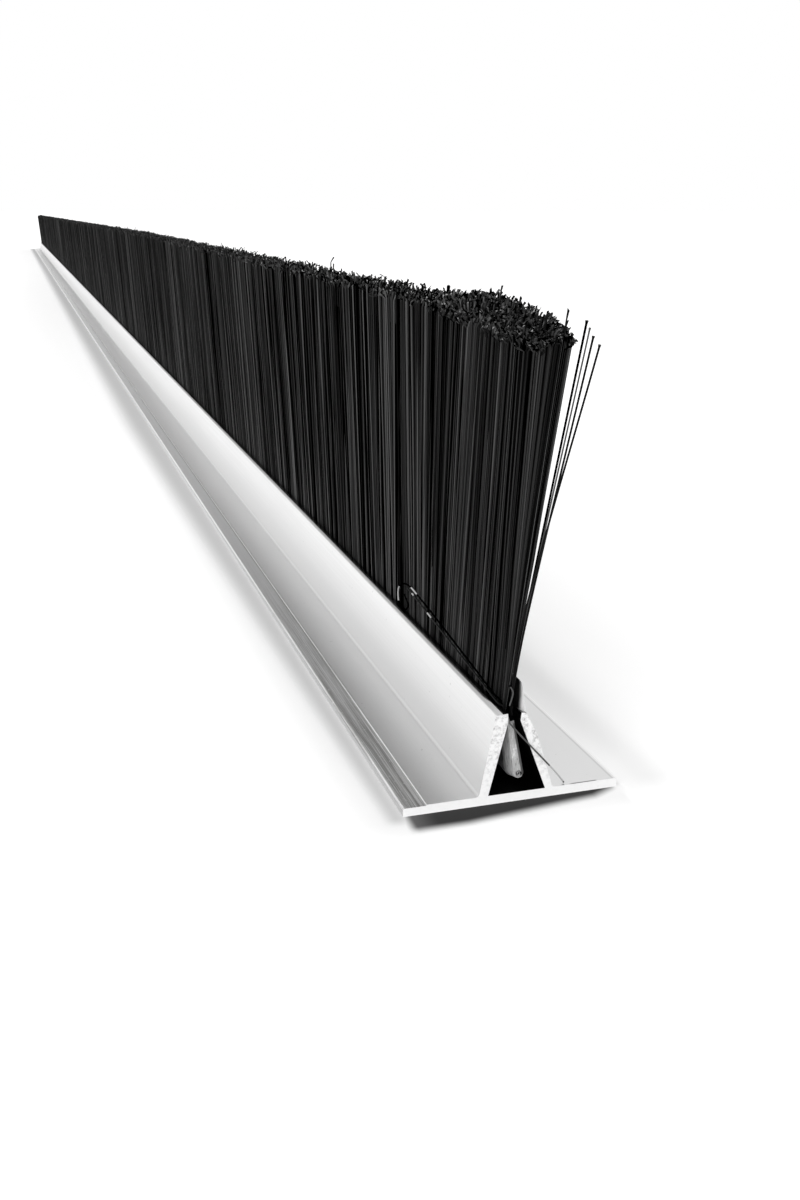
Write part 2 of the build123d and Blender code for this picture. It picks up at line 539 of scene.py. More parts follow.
        # The flat top of the left wall is smooth, and shows the black bristles behind it, which are also
        # painted into its colour as painted reflection and shade
        near_end = (-along).over(*self.near_end)
        top = (across - self.top_at - near_end * self.top_shift).over(0.0, 0.35)
        top = top * up.over(9.6, 0.1) * (1 - sawn)
        crown = (1 - across.over(-0.4, 0.4)) * up.over(9.75, 0.1)
        # Painted shade in the crease between the wall and the flange
        crease = (1 - abs(across - self.crease_at).over(*self.crease_edge)) * (1 - up.over(1.7, 0.8))
        worn = shader.mix(streaks.over(0.5, 0.25), self.scoured, grey(self.worn))
        worn = shader.mix(shader.noise(self.pits).over(0.66, 0.04) * self.pit_depth, worn, grey(self.pitted))
        flange = self.flange_face(shader, lines, across, along)
        coat = shader.mix(1 - up.over(*self.flange_top), self.walls(shader, lines, up), flange)
        coat = shader.mix(crease, coat, grey(self.crease))
        coat = shader.mix(outer * self.worn_depth, coat, worn)
        specks = shader.noise(self.specks).over(0.78, 0.03) * self.speck_depth
        coat = shader.mix(specks, coat, grey(self.speck))
        # Painted shade: black in the chamber between the walls and on the left wall's flat top
        painted_shade = (self.chamber(across, up) * (1 - sawn)).at_least(top * self.top_depth)
        coat = shader.mix(painted_shade, coat, grey(self.inside))
        coat = shader.mix(self.dark_edge_mask(across, along, up) * self.dark_edge_depth, coat, grey(self.dark_edge))
        # The saw tore the ends a little more with the height
        torn = (1 - mottle.over(0.42, 0.32)) * up.spread(-0.04, 0.08).at_least(0.04).at_most(0.9)
        end = shader.mix(torn, grey(self.sawn), grey(self.sawn * self.torn_share))
        height = lines * 0.5 + shader.noise(self.fine_lines) * 0.3 + outer * streaks * 0.9
        height = height * (1 - sawn) + mottle * sawn * 3.0
        gloss = lines.spread(self.roughness - 0.05, self.roughness + 0.09)
        bare = self.metallic * (1 - sawn * 0.9) * (1 - outer * 0.15)
        return shader.finish({
            "Base Color": shader.mix(sawn, coat, end),
            "Metallic": bare * (1 - crown * (1 - top) * 0.8),
            "Roughness": (gloss + sawn * 0.25) * (1 - top * 0.6),
            "Normal": shader.bump(height, 0.25, 0.05),
        })


@dataclass(frozen=True)
class BlackPlastic:
    """Black plastic filament, on its side or at its cut end, in lit and shaded copies that paint its
    highlights and shade.
    """

    name: str
    roughness: float

    def material(self, shade: PaintedLight | Cut) -> bpy.types.Material:
        """Build the finish in one shade.

        Args:
            shade: How pale and how glossy it is.

        Returns:
            The material.
        """
        level, gloss = shade.value
        return Shader(f"{self.name}_{shade.name.lower()}").finish({
            "Base Color": grey(level),
            "Roughness": self.roughness,
            "Specular IOR Level": gloss,
        })


@dataclass(frozen=True)
class GalvanisedStrip:
    """Zinc-coated sheet, dull and mottled, with scuffs where the saw crushed its end, and with painted
    highlight and shade on the crushed end and the torn corner.
    """

    # How light each part is
    dark: float = 0.42
    light: float = 0.7
    # Scuffs, which also serve as the painted highlight on the ridge and on the torn corner's rim
    scuffs_and_painted_light: float = 0.92
    pitted: float = 0.1
    # The black of the painted shade on the turned side and inside the torn corner
    painted_shade: float = 0.012
    roughness: float = 0.42
    # Patterns
    clouds: Cloud = Cloud((0.9, 0.5, 0.9), 4.0, 0.6)
    flecks: Cloud = Cloud((4.5, 4.5, 0.9), 4.0, 0.7)
    dents: Cloud = Cloud((1.8, 1.2, 0.7), 3.0)
    # How far out along the bar its marks begin, with a painted highlight on the ridge and painted shade on
    # the front facet
    crushed_edge: Edge = (997.6, 1.0)
    ridge_edge: Edge = (998.72, 0.15)
    front_edge: Edge = (998.95, 0.08)
    rim_edge: Edge = (999.1, 0.7)
    # The torn corner, and how the right side of the crushed end leans
    flap_edge: Edge = (8.4, 0.3)
    turn_at: float = 1.85
    turn_slope: float = 0.2

    def material(self) -> bpy.types.Material:
        """Build the finish.

        Returns:
            The material.
        """
        shader = Shader("galvanised_strip")
        across, along, up = shader.axes()
        crushed = (-along).over(*self.crushed_edge)
        front = (-along).over(*self.front_edge)
        ridge = (-along).over(*self.ridge_edge) * (1 - front)
        rim = (-along).over(*self.rim_edge)
        flap = up.over(*self.flap_edge)
        cloud = shader.noise(self.clouds)
        flecks = shader.noise(self.flecks)
        plain = shader.mix(cloud.over(0.5, 0.35), grey(self.dark), grey(self.light))
        # Painted shade on the front facet of the crushed end, and a painted highlight on the ridge behind it
        facet = shader.mix(front * 0.75, grey(self.light), grey(self.dark))
        bright = (flecks.over(0.58, 0.1) * 0.8).at_least(ridge * flecks.over(0.42, 0.1))
        scuffs_and_painted_light = shader.mix(bright, facet, grey(self.scuffs_and_painted_light))
        scuffs_and_painted_light = shader.mix((1 - flecks.over(0.38, 0.08)) * 0.7, scuffs_and_painted_light, grey(self.pitted))
        # Its right side turns away into the dark of the chamber, painted as shade
        turned = (across + up * self.turn_slope - self.turn_at).over(0.0, 0.14) * crushed
        scuffs_and_painted_light = shader.mix(turned, scuffs_and_painted_light, grey(self.painted_shade))
        # The torn corner gets painted shade on its inner side and a painted highlight along its rim
        inside = shader.mix(rim, grey(self.painted_shade), grey(self.scuffs_and_painted_light))
        return shader.finish({
            "Base Color": shader.mix(flap, shader.mix(crushed * 0.9, plain, scuffs_and_painted_light), inside),
            "Metallic": (0.75 - crushed * 0.65).at_least(flap * (1 - rim) * 0.95),
            "Roughness": cloud.spread(self.roughness - 0.08, self.roughness + 0.14),
            "Normal": shader.bump(shader.noise(self.dents) + flecks * crushed * 0.5, 0.8, 0.18),
        })


@dataclass(frozen=True)
class SteelWire:
    """Drawn steel wire with lines along it."""

    colour: float = 0.5
    crack: float = 0.02
    roughness: float = 0.35
    lines: Cloud = Cloud((8.0, 0.05, 8.0))
    cracks: Cloud = Cloud((3.0, 3.0, 3.0), 3.0, 0.7)
    crack_edge: Edge = (0.43, 0.12)
    torn_edge: Edge = (999.1, 0.1)

    def material(self) -> bpy.types.Material:
        """Build the finish.

        Returns:
            The material.
        """
        shader = Shader("steel_wire")
        lines = shader.noise(self.lines)
        _, along, _ = shader.axes()
        # The near end is torn, and dark in its cracks
        torn = (-along).over(*self.torn_edge) * shader.noise(self.cracks).over(*self.crack_edge)
        drawn = shader.mix(lines, grey(self.colour * 0.8), grey(self.colour))
        return shader.finish({
            "Base Color": shader.mix(torn, drawn, grey(self.crack)),
            "Metallic": 1.0,
            "Roughness": lines.spread(self.roughness - 0.1, self.roughness + 0.1),
        })


@dataclass
class Finishes:
    """Every finish, made once."""

    aluminium: bpy.types.Material = field(default_factory=lambda: MillAluminium().material())
    strip: bpy.types.Material = field(default_factory=lambda: GalvanisedStrip().material())
    wire: bpy.types.Material = field(default_factory=lambda: SteelWire().material())
    # The filaments' lit and shaded copies, which paint highlights and shade
    painted_lights: list[bpy.types.Material] = field(
        default_factory=lambda: [BlackPlastic("bristle", 0.42).material(painted_light) for painted_light in PaintedLight],
    )
    cuts: list[bpy.types.Material] = field(
        default_factory=lambda: [BlackPlastic("cut", 0.6).material(cut) for cut in Cut],
    )

    def filament_slots(self) -> list[bpy.types.Material]:
        """A filament's finishes: first the sides' lit and shaded copies, then the cut ends' lit and shaded
        copies.
        """
        return self.painted_lights + self.cuts


def side_number(painted_light: PaintedLight) -> int:
    """The slot of a side's lit or shaded copy."""
    return list(PaintedLight).index(painted_light)


def cut_number(cut: Cut) -> int:
    """The slot of a cut end's lit or shaded copy."""
    return len(PaintedLight) + list(Cut).index(cut)


@dataclass
class Form:
    """Points and faces of a mesh, in millimetres, with a surface map and a finish number for each face."""

    points: np.ndarray
    faces: list[np.ndarray]
    places: list[np.ndarray]
    finish: list[int | np.ndarray]

    def build(self, name: str, finishes: Sequence[bpy.types.Material]) -> bpy.types.Object:
        """Make the object.

        Args:
            name: The piece's name.
            finishes: The materials that the finish numbers mean.

        Returns:
            The new object, in the scene.
        """
        mesh = bpy.data.meshes.new(name)
        rows = [row for group in self.faces for row in group.tolist()]
        mesh.from_pydata((self.points * MM).tolist(), [], rows)
        surface = mesh.uv_layers.new(name=SURFACE_MAP)
        surface.data.foreach_set("uv", np.concatenate([group.ravel() for group in self.places]))
        numbers = [np.full(len(group), number) for group, number in zip(self.faces, self.finish)]
        mesh.polygons.foreach_set("material_index", np.concatenate(numbers).astype(np.int32))
        smooth = [np.full(len(group), group.shape[1] == 4) for group in self.faces]
        mesh.polygons.foreach_set("use_smooth", np.concatenate(smooth))
        for finish in finishes:
            mesh.materials.append(finish)
        mesh.update()
        made = bpy.data.objects.new(name, mesh)
        bpy.context.scene.collection.objects.link(made)
        return made


def ring_corners(left: np.ndarray, right: np.ndarray) -> list[np.ndarray]:
    """What the four corners of each quad between a ring and the next one have.

    Args:
        left: A value for each point, as (..., ring, side).
        right: The value for the next point of its ring.

    Returns:
        The values, from the lower left corner round.
    """
    return [left[..., :-1, :], right[..., :-1, :], right[..., 1:, :], left[..., 1:, :]]


def ring_places(near: np.ndarray, far: np.ndarray, up: np.ndarray) -> np.ndarray:
    """Where the quads between rings lie on the surface map.

    Args:
        near: Each point's place across the map, as (..., ring, side).
        far: The place of the next point of its ring.
        up: Each point's place up the map.

    Returns:
        The places, as (quad, corner, 2).
    """
    pairs = zip(ring_corners(near, far), ring_corners(up, up))
    return np.stack([np.stack(pair, axis=-1) for pair in pairs], axis=-2).reshape(-1, 4, 2)


def filaments(
    lines: np.ndarray,
    radius: float,
    flare: float,
    turn: np.ndarray,
    tilt: np.ndarray,
    slots: np.ndarray,
) -> Form:
    """Three-sided filaments along upright lines.

    Args:
        lines: The points of each line, as (filament, ring, xyz).
        radius: The filaments' radius.
        flare: How much wider each cut end is.
        turn: The angle at which each one's sides start.
        tilt: The slope of its cut end along x and y, as (filament, 2).
        slots: The slots of its side's and its cut end's finish, as (filament, 2).

    Returns:
        The form.
    """
    count, rings = lines.shape[:2]
    sides = 3
    angles = turn[:, None] + np.arange(sides) * (2 * np.pi / sides)
    offsets = np.stack([np.cos(angles), np.sin(angles), np.zeros_like(angles)], axis=-1) * radius
    points = lines[:, :, None, :] + offsets[:, None, :, :]
    points[:, -1] += offsets * (flare - 1)
    points[:, -1, :, 2] += (offsets[:, :, :2] * tilt[:, None, :]).sum(axis=-1)
    number = np.arange(count * rings * sides).reshape(count, rings, sides)
    following = np.roll(number, -1, axis=2)
    quads = np.stack(ring_corners(number, following), axis=-1).reshape(-1, 4)
    # On the surface map each filament is a narrow upright strip, as wide as it is round
    span = float(np.ptp(lines[:, :, 1])) + 1.0
    low = lines[:, :, 1].min()
    along = (lines[:, :, 1] - low) / span
    height = lines[:, :, 2] / span
    step = 2 * np.pi * radius / sides / span
    side = np.arange(sides) * step
    near = along[:, :, None] + side
    up = np.repeat(height[:, :, None], sides, axis=2)
    end_up = height[:, -1, None] + side * np.array([1, 2, 1])
    end_places = np.stack([along[:, -1, None] + side, end_up], axis=-1)
    return Form(
        points.reshape(-1, 3),
        [quads, number[:, -1, :]],
        [ring_places(near, near + step, up), end_places],
        [np.repeat(slots[:, 0], (rings - 1) * sides), slots[:, 1]],
    )


def joined(forms: Sequence[Form]) -> Form:
    """Several forms as one.

    Args:
        forms: The forms, each with its own point numbers.

    Returns:
        One form that holds them all.
    """
    faces: list[np.ndarray] = []
    places: list[np.ndarray] = []
    finish: list[int | np.ndarray] = []
    start = 0
    for form in forms:
        faces += [group + start for group in form.faces]
        places += form.places
        finish += form.finish
        start += len(form.points)
    return Form(np.concatenate([form.points for form in forms]), faces, places, finish)


@dataclass
class BristlePack:
    """The pack of bristles above the strip's mouth, filament by filament, in sections along the bar."""

    count: int = 34000
    end_count: int = 4200
    end_depth: float = 34.0
    end_crowding: float = 1.2
    face_crowding: float = 0.85
    sections: int = 5
    radius: float = 0.1
    root_end: float = 997.4
    root_height: float = 8.3
    root_centre: float = -0.05
    root_half: float = 0.52
    neck_height: float = 13.6
    neck_centre: float = -0.15
    neck_half: float = 0.41
    tip_end: float = 1007.5
    tip_height: float = 50.05
    tip_limit: float = 53.1
    tip_slope: float = 0.2
    tip_half: float = 2.7
    fan_length: float = 34.5
    # How far a filament leans outwards, by its tip's distance from the end
    lean_places: tuple[float, ...] = (0.0, 14.0, 23.0, 32.0, 52.0, 80.0, 125.0)
    leans: tuple[float, ...] = (10.1, 10.5, 8.5, 5.5, 3.6, 2.6, 0.0)
    # How far the tips on the left and on the right face drop from the start of the fan to its end
    fan_places: tuple[float, ...] = (0.0, 0.12, 0.23, 0.38, 0.5, 0.65, 0.8, 0.9, 1.0)
    left_drops: tuple[float, ...] = (0.0, 0.4, 0.75, 0.9, 0.95, 1.1, 1.75, 2.1, 2.3)
    right_drops: tuple[float, ...] = (0.0, -0.5, -0.6, -0.85, -0.5, 0.15, 0.45, 0.85, 1.5)
    # The pack stands a little taller from here on, away from the near end
    rise: float = 1.2
    rise_from: float = -930.0
    rise_to: float = -650.0
    # The far corner of each end is cut off from this share of the width on
    corner_cut: float = 3.6
    corner_from: float = 0.1
    corner_power: float = 1.4
    # Towards the torn corner the filaments stand closer together
    pinch_from: float = -991.0
    pinch_length: float = 5.0
    pinched_half: float = 0.2
    # Filaments hold together in clumps, three across the pack
    clump_pitch: float = 1.9
    clump_stagger: float = 0.37
    clump_across: float = 0.62
    clump_pull: float = 0.5
    # How far tips stray along, across and up, by clump and by filament, and what of it the ends lack
    clump_stray: Point = (0.3, 0.1, 0.2)
    own_stray: Point = (0.22, 0.1, 0.15)
    held: float = 0.85
    tall_share: float = 0.015
    tall_stray: float = 0.7
    # Filaments bow a little across and along
    bow_place: float = 0.45
    bow_across: float = 0.05
    bow_along: float = 0.09
    clump_bow: float = 0.06
    # The last millimetre is bent by the blade that trimmed it
    bend: float = 0.3
    clump_bend: float = 0.7
    bend_drop: float = 0.45
    bend_length: float = 0.8
    flare: float = 1.35
    standing: tuple[Point, ...] = ((1.0, -1006.6, 50.7), (0.3, -1003.9, 50.4), (2.0, -972.2, 50.85))
    # Shares of the lit and shaded copies at places along the bar, from its middle to its ends, which paint
    # highlights and shade
    share_places: tuple[float, ...] = (650.0, 850.0, 940.0, 975.0, 988.0, 998.0, 1004.0)
    shares: tuple[tuple[float, ...], ...] = (
        (0.06, 0.27, 0.62, 0.05),
        (0.14, 0.3, 0.48, 0.08),
        (0.28, 0.22, 0.34, 0.16),
        (0.38, 0.22, 0.24, 0.16),
        (0.22, 0.2, 0.4, 0.18),
        (0.16, 0.2, 0.44, 0.2),
        (0.26, 0.34, 0.36, 0.04),
    )
    cut_shares: tuple[float, ...] = (0.55, 0.31, 0.14)
    seed: int = 52

    def tips_over(self, root_y: np.ndarray) -> tuple[np.ndarray, np.ndarray]:
        """Where upright filaments end along the bar, fanned out at both ends.

        Args:
            root_y: Where they start.

        Returns:
            Where they end, and how far each is into the fan, from 0 to 1.
        """
        tips = np.linspace(0, self.tip_end, 4001)
        roots = tips - np.interp(self.tip_end - tips, self.lean_places, self.leans)
        tip = np.interp(np.abs(root_y), roots, tips)
        fan = np.clip(1 - (self.tip_end - tip) / self.fan_length, 0, 1)
        return np.sign(root_y) * tip, fan

    def roots(self, draw: np.random.Generator) -> np.ndarray:
        """Where the filaments start along the bar, packed more tightly towards both ends.

        Args:
            draw: The source of random numbers.

        Returns:
            The places, in order.
        """
        along = draw.uniform(-self.root_end, self.root_end, self.count)
        depth = self.end_depth * draw.uniform(0, 1, self.end_count) ** self.end_crowding
        ends = (self.root_end - depth) * draw.choice((-1.0, 1.0), self.end_count)
        return np.sort(np.concatenate([along, ends]))

    def drop(self, across: np.ndarray, tip_y: np.ndarray, fan: np.ndarray) -> np.ndarray:
        """How far tips are below the usual height.

        Args:
            across: Their places across the pack, from -1 to 1.
            tip_y: Where they end along the bar.
            fan: How far each is into the fan.

        Returns:
            The drops.
        """
        left = np.interp(fan, self.fan_places, self.left_drops)
        right = np.interp(fan, self.fan_places, self.right_drops)
        risen = np.clip((tip_y - self.rise_from) / (self.rise_to - self.rise_from), 0, 1)
        return left + (right - left) * (across + 1) / 2 - self.tip_slope * across - self.rise * risen

    def grow(self) -> tuple[np.ndarray, np.ndarray, np.ndarray, np.ndarray]:
        """Draw every filament.

        Returns:
            Their lines of five points from root to tip, a number from 0 to 1 for how near each is to a face
            of the pack, the angle of their sides, and the slope of their cut ends.
        """
        draw = np.random.default_rng(self.seed)
        root_y = self.roots(draw)
        count = len(root_y)
        across = draw.uniform(-1, 1, count)
        across = np.sign(across) * np.abs(across) ** self.face_crowding
        tip_y, fan = self.tips_over(root_y)
        third = np.clip(np.floor((across + 1) * 1.5), 0, 2)
        stagger = third * self.clump_stagger
        spot = np.floor((tip_y + self.tip_end) / self.clump_pitch + stagger).astype(int)
        clump = (spot * 3 + third).astype(int)
        many = clump.max() + 1
        middles = spot - stagger + draw.uniform(0.2, 0.8, many)[clump]
        clump_y = middles * self.clump_pitch - self.tip_end
        clump_x = (third - 1) * self.clump_across * self.tip_half
        shared = draw.normal(0, 1, (many, 7))[clump]
        own = draw.normal(0, 1, (count, 8))
        stray = shared[:, :3] * self.clump_stray + own[:, :3] * self.own_stray
        free = 1 - self.held * fan
        pull = self.clump_pull * (0.6 + 0.4 * np.tanh(shared[:, 4]))
        end_y = tip_y + ((clump_y - tip_y) * pull + stray[:, 0]) * free
        corner = np.clip((across - self.corner_from) / (1 - self.corner_from), 0, 1) ** self.corner_power
        end_y -= np.sign(tip_y) * self.corner_cut * corner * fan**3
        wide = across * self.tip_half
        end_x = self.root_centre + wide + (clump_x - wide) * pull * 0.5 + stray[:, 1]
        tall = np.where(draw.uniform(0, 1, count) < self.tall_share, self.tall_stray, 0.0)
        end_z = self.tip_height - self.drop(across, tip_y, fan) + stray[:, 2] + tall * np.abs(own[:, 3])
        end_z = np.minimum(end_z, self.tip_limit)
        end_y = np.clip(end_y, -self.tip_end, self.tip_end)
        end = np.stack([end_x, end_y, end_z], axis=-1)
        standing = [np.abs(end[:, :2] - point[:2]).sum(axis=1).argmin() for point in self.standing]
        end[standing] = self.standing
        pinched = np.clip((self.pinch_from - root_y) / self.pinch_length, 0, 1)
        pinched = pinched * pinched * (3 - 2 * pinched)
        root_x = self.root_centre + across * self.root_half
        root_x += (self.neck_centre + across * self.pinched_half - root_x) * pinched
        start = np.stack([root_x, root_y, np.full(count, self.root_height)], axis=-1)
        risen = (self.neck_height - self.root_height) / (end[:, 2] - self.root_height)
        neck = start + (end - start) * risen[:, None]
        neck[:, 0] += (self.neck_centre + across * self.neck_half - neck[:, 0]) * pinched
        middle = start + (end - start) * self.bow_place
        middle[:, 0] += own[:, 4] * self.bow_across
        middle[:, 1] += (own[:, 5] * self.bow_along + shared[:, 3] * self.clump_bow) * free
        length = np.linalg.norm(end - middle, axis=1, keepdims=True)
        bend_length = self.bend_length * draw.uniform(0.5, 1.3, (count, 1))
        below = end + (middle - end) / length * bend_length
        hook = (shared[:, 5:7] * self.clump_bend + own[:, 6:8]) * self.bend
        hook[standing] = 0.05
        tip = end + np.column_stack([hook, -self.bend_drop * np.linalg.norm(hook, axis=1)])
        tip[:, 0] = np.clip(tip[:, 0], -self.tip_half - 0.35, self.tip_half + 0.3)
        tip[:, 1] = np.clip(tip[:, 1], -self.tip_end - 0.3, self.tip_end + 0.3)
        turn = draw.uniform(0, 2 * np.pi, count)
        tilt = shared[:, :2] * 0.5 + draw.normal(0, 0.6, (count, 2))
        return np.stack([start, neck, middle, below, tip], axis=1), np.abs(across), turn, tilt

    def drawn_slots(self, tip_y: np.ndarray) -> np.ndarray:
        """The finish slots of each filament's side and cut end. The ends of the pack are darker, as painted
        shade.

        Args:
            tip_y: Where the filaments end along the bar.

        Returns:
            The slots, as (filament, 2).
        """
        draw = np.random.default_rng(self.seed + 1)
        count = len(tip_y)
        rows = np.cumsum(self.shares, axis=1).T
        limits = [np.interp(np.abs(tip_y), self.share_places, row) for row in rows]
        side = (draw.uniform(0, 1, count) > np.array(limits[:-1])).sum(axis=0)
        end = draw.choice(len(Cut), count, p=self.cut_shares) + cut_number(Cut.DARK)
        return np.column_stack([side, end])

    def build(self, finishes: Finishes) -> list[bpy.types.Object]:
        """Make the sections.

        Args:
            finishes: The finishes.

        Returns:
            One piece for each section.
        """
        lines, outside, turn, tilt = self.grow()
        count = len(lines)
        slots = self.drawn_slots(lines[:, -1, 1])
        at_end = np.abs(lines[:, 0, 1]) > self.root_end - self.end_depth
        near_face = ~at_end & (outside > 0.55)
        groups = [(at_end, [0, 1, 2, 3, 4]), (near_face, [0, 2, 3, 4]), (~at_end & ~near_face, [0, 3, 4])]
        bounds = np.linspace(0, count, self.sections + 1).astype(int)
        pieces = []
        for number, (first, last) in enumerate(zip(bounds, bounds[1:]), start=1):
            here = (np.arange(count) >= first) & (np.arange(count) < last)
            forms = [
                filaments(
                    lines[group & here][:, rings], self.radius, self.flare,
                    turn[group & here], tilt[group & here], slots[group & here],
                )
                for group, rings in groups if (group & here).any()
            ]
            piece = joined(forms).build(f"bristle_pack_{number}", finishes.filament_slots())
            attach(piece, BODY)
            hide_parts("bristle_curtain")
            pieces.append(piece)
        return pieces


@dataclass
class BristleCore:
    """The middle of the pack, where the bristles stand too close to tell apart."""

    centre: float = -0.05
    low_half: float = 0.2
    low_end: float = 996.2
    low: float = 8.6
    high_half: float = 1.3
    high_end: float = 1003.4
    high: float = 45.8

    def build(self, finishes: Finishes) -> bpy.types.Object:
        """Make the core.

        Args:
            finishes: The finishes.

        Returns:
            The piece.
        """
        points = np.array([
            (self.centre + side * half, place * end, height)
            for half, end, height in (
                (self.low_half, self.low_end, self.low),
                (self.high_half, self.high_end, self.high),
            )
            for side, place in ((-1, -1), (1, -1), (1, 1), (-1, 1))
        ])
        faces = np.array([(3, 2, 1, 0), (4, 5, 6, 7), (0, 1, 5, 4), (1, 2, 6, 5), (2, 3, 7, 6), (3, 0, 4, 7)])
        flat = np.stack([points[:, 1] + points[:, 0], points[:, 2]], axis=-1) / (2 * self.high_end) + 0.5
        form = Form(points, [faces], [flat[faces]], [0])
        # The core wears the deepest painted shade of the filaments
        piece = form.build("bristle_core", [finishes.painted_lights[side_number(PaintedLight.BLACK)]])
        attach(piece, BODY)
        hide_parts("bristle_curtain")
        return piece


@dataclass
class BristleRoot:
    """The filaments folded round the wire inside the strip, as one form along the bar."""

    end: float = 997.4
    wire_centre: tuple[float, float] = (0.995, 2.653)
    lean: float = 10.0
    fold_radius: float = 0.66
    mouth_half: float = 0.49
    mouth_up: float = 6.1
    arc_steps: int = 20
    map_size: float = 20.0

    def outline(self) -> np.ndarray:
        """The section's outline about the wire.

        Returns:
            Its points, as (across, up).
        """
        angles = np.linspace(np.pi, 2 * np.pi, self.arc_steps)
        arc = np.stack([np.cos(angles), np.sin(angles)], axis=-1) * self.fold_radius
        top = np.array([[self.mouth_half, self.mouth_up], [-self.mouth_half, self.mouth_up]])
        return np.concatenate([arc, top])

    def build(self, finishes: Finishes) -> bpy.types.Object:
        """Make the folded root.

        Args:
            finishes: The finishes.

        Returns:
            The piece.
        """
        flat = self.outline()
        angle = np.radians(self.lean)
        turn = np.array([[np.cos(angle), np.sin(angle)], [-np.sin(angle), np.cos(angle)]])
        section = flat @ turn + np.array(self.wire_centre)
        count = len(section)
        points = np.concatenate([
            np.column_stack([section[:, 0], np.full(count, place), section[:, 1]])
            for place in (-self.end, self.end)
        ])
        here = np.arange(count)
        after = np.roll(here, -1)
        sides = np.stack([here, after, after + count, here + count], axis=-1)
        share, up = np.meshgrid(here / count, [0.0, 1.0])
        side_places = ring_places(share, share + 1 / count, up)
        ends = np.stack([here[::-1], here + count])
        end_places = np.stack([flat[::-1], flat]) / self.map_size + 0.5
        form = Form(points, [sides, ends], [side_places, end_places], [0, 0])
        # The root wears the dim painted shade of the filaments
        piece = form.build("bristle_root", [finishes.painted_lights[side_number(PaintedLight.DIM)]])
        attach(piece, BODY)
        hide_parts("bristle_curtain")
        return piece


@dataclass(frozen=True)
class Strand:
    """A single bristle."""

    # Its path from root to tip, as (across, inwards from the near end, up)
    path: tuple[Point, ...]
    # Which lit or shaded copy its side wears, as painted light and shade
    painted_light: PaintedLight
    # The stretches that shine instead as painted glints, from 0 at the root to 1 at the tip, and their lit
    # copy
    glints: tuple[Edge, ...] = ()
    shine: PaintedLight = PaintedLight.PALE
    radius: float = 0.1
    # How much wider its cut tip is, and how far it is bent across the bar a little above its root
    flare: float = 1.0
    sag: float = 0.0


def splayed_strand(root: Point, tip: Point, sag: float, painted_light: PaintedLight, radius: float) -> Strand:
    """One of the bristles that stand out from the near end of the pack.

    Args:
        root: Where it starts.
        tip: Where it ends.
        sag: How far it is bent.
        painted_light: Which lit or shaded copy its side wears.
        radius: Its radius.

    Returns:
        The bristle.
    """
    return Strand((root, tip), painted_light, radius=radius, flare=1.5, sag=sag)


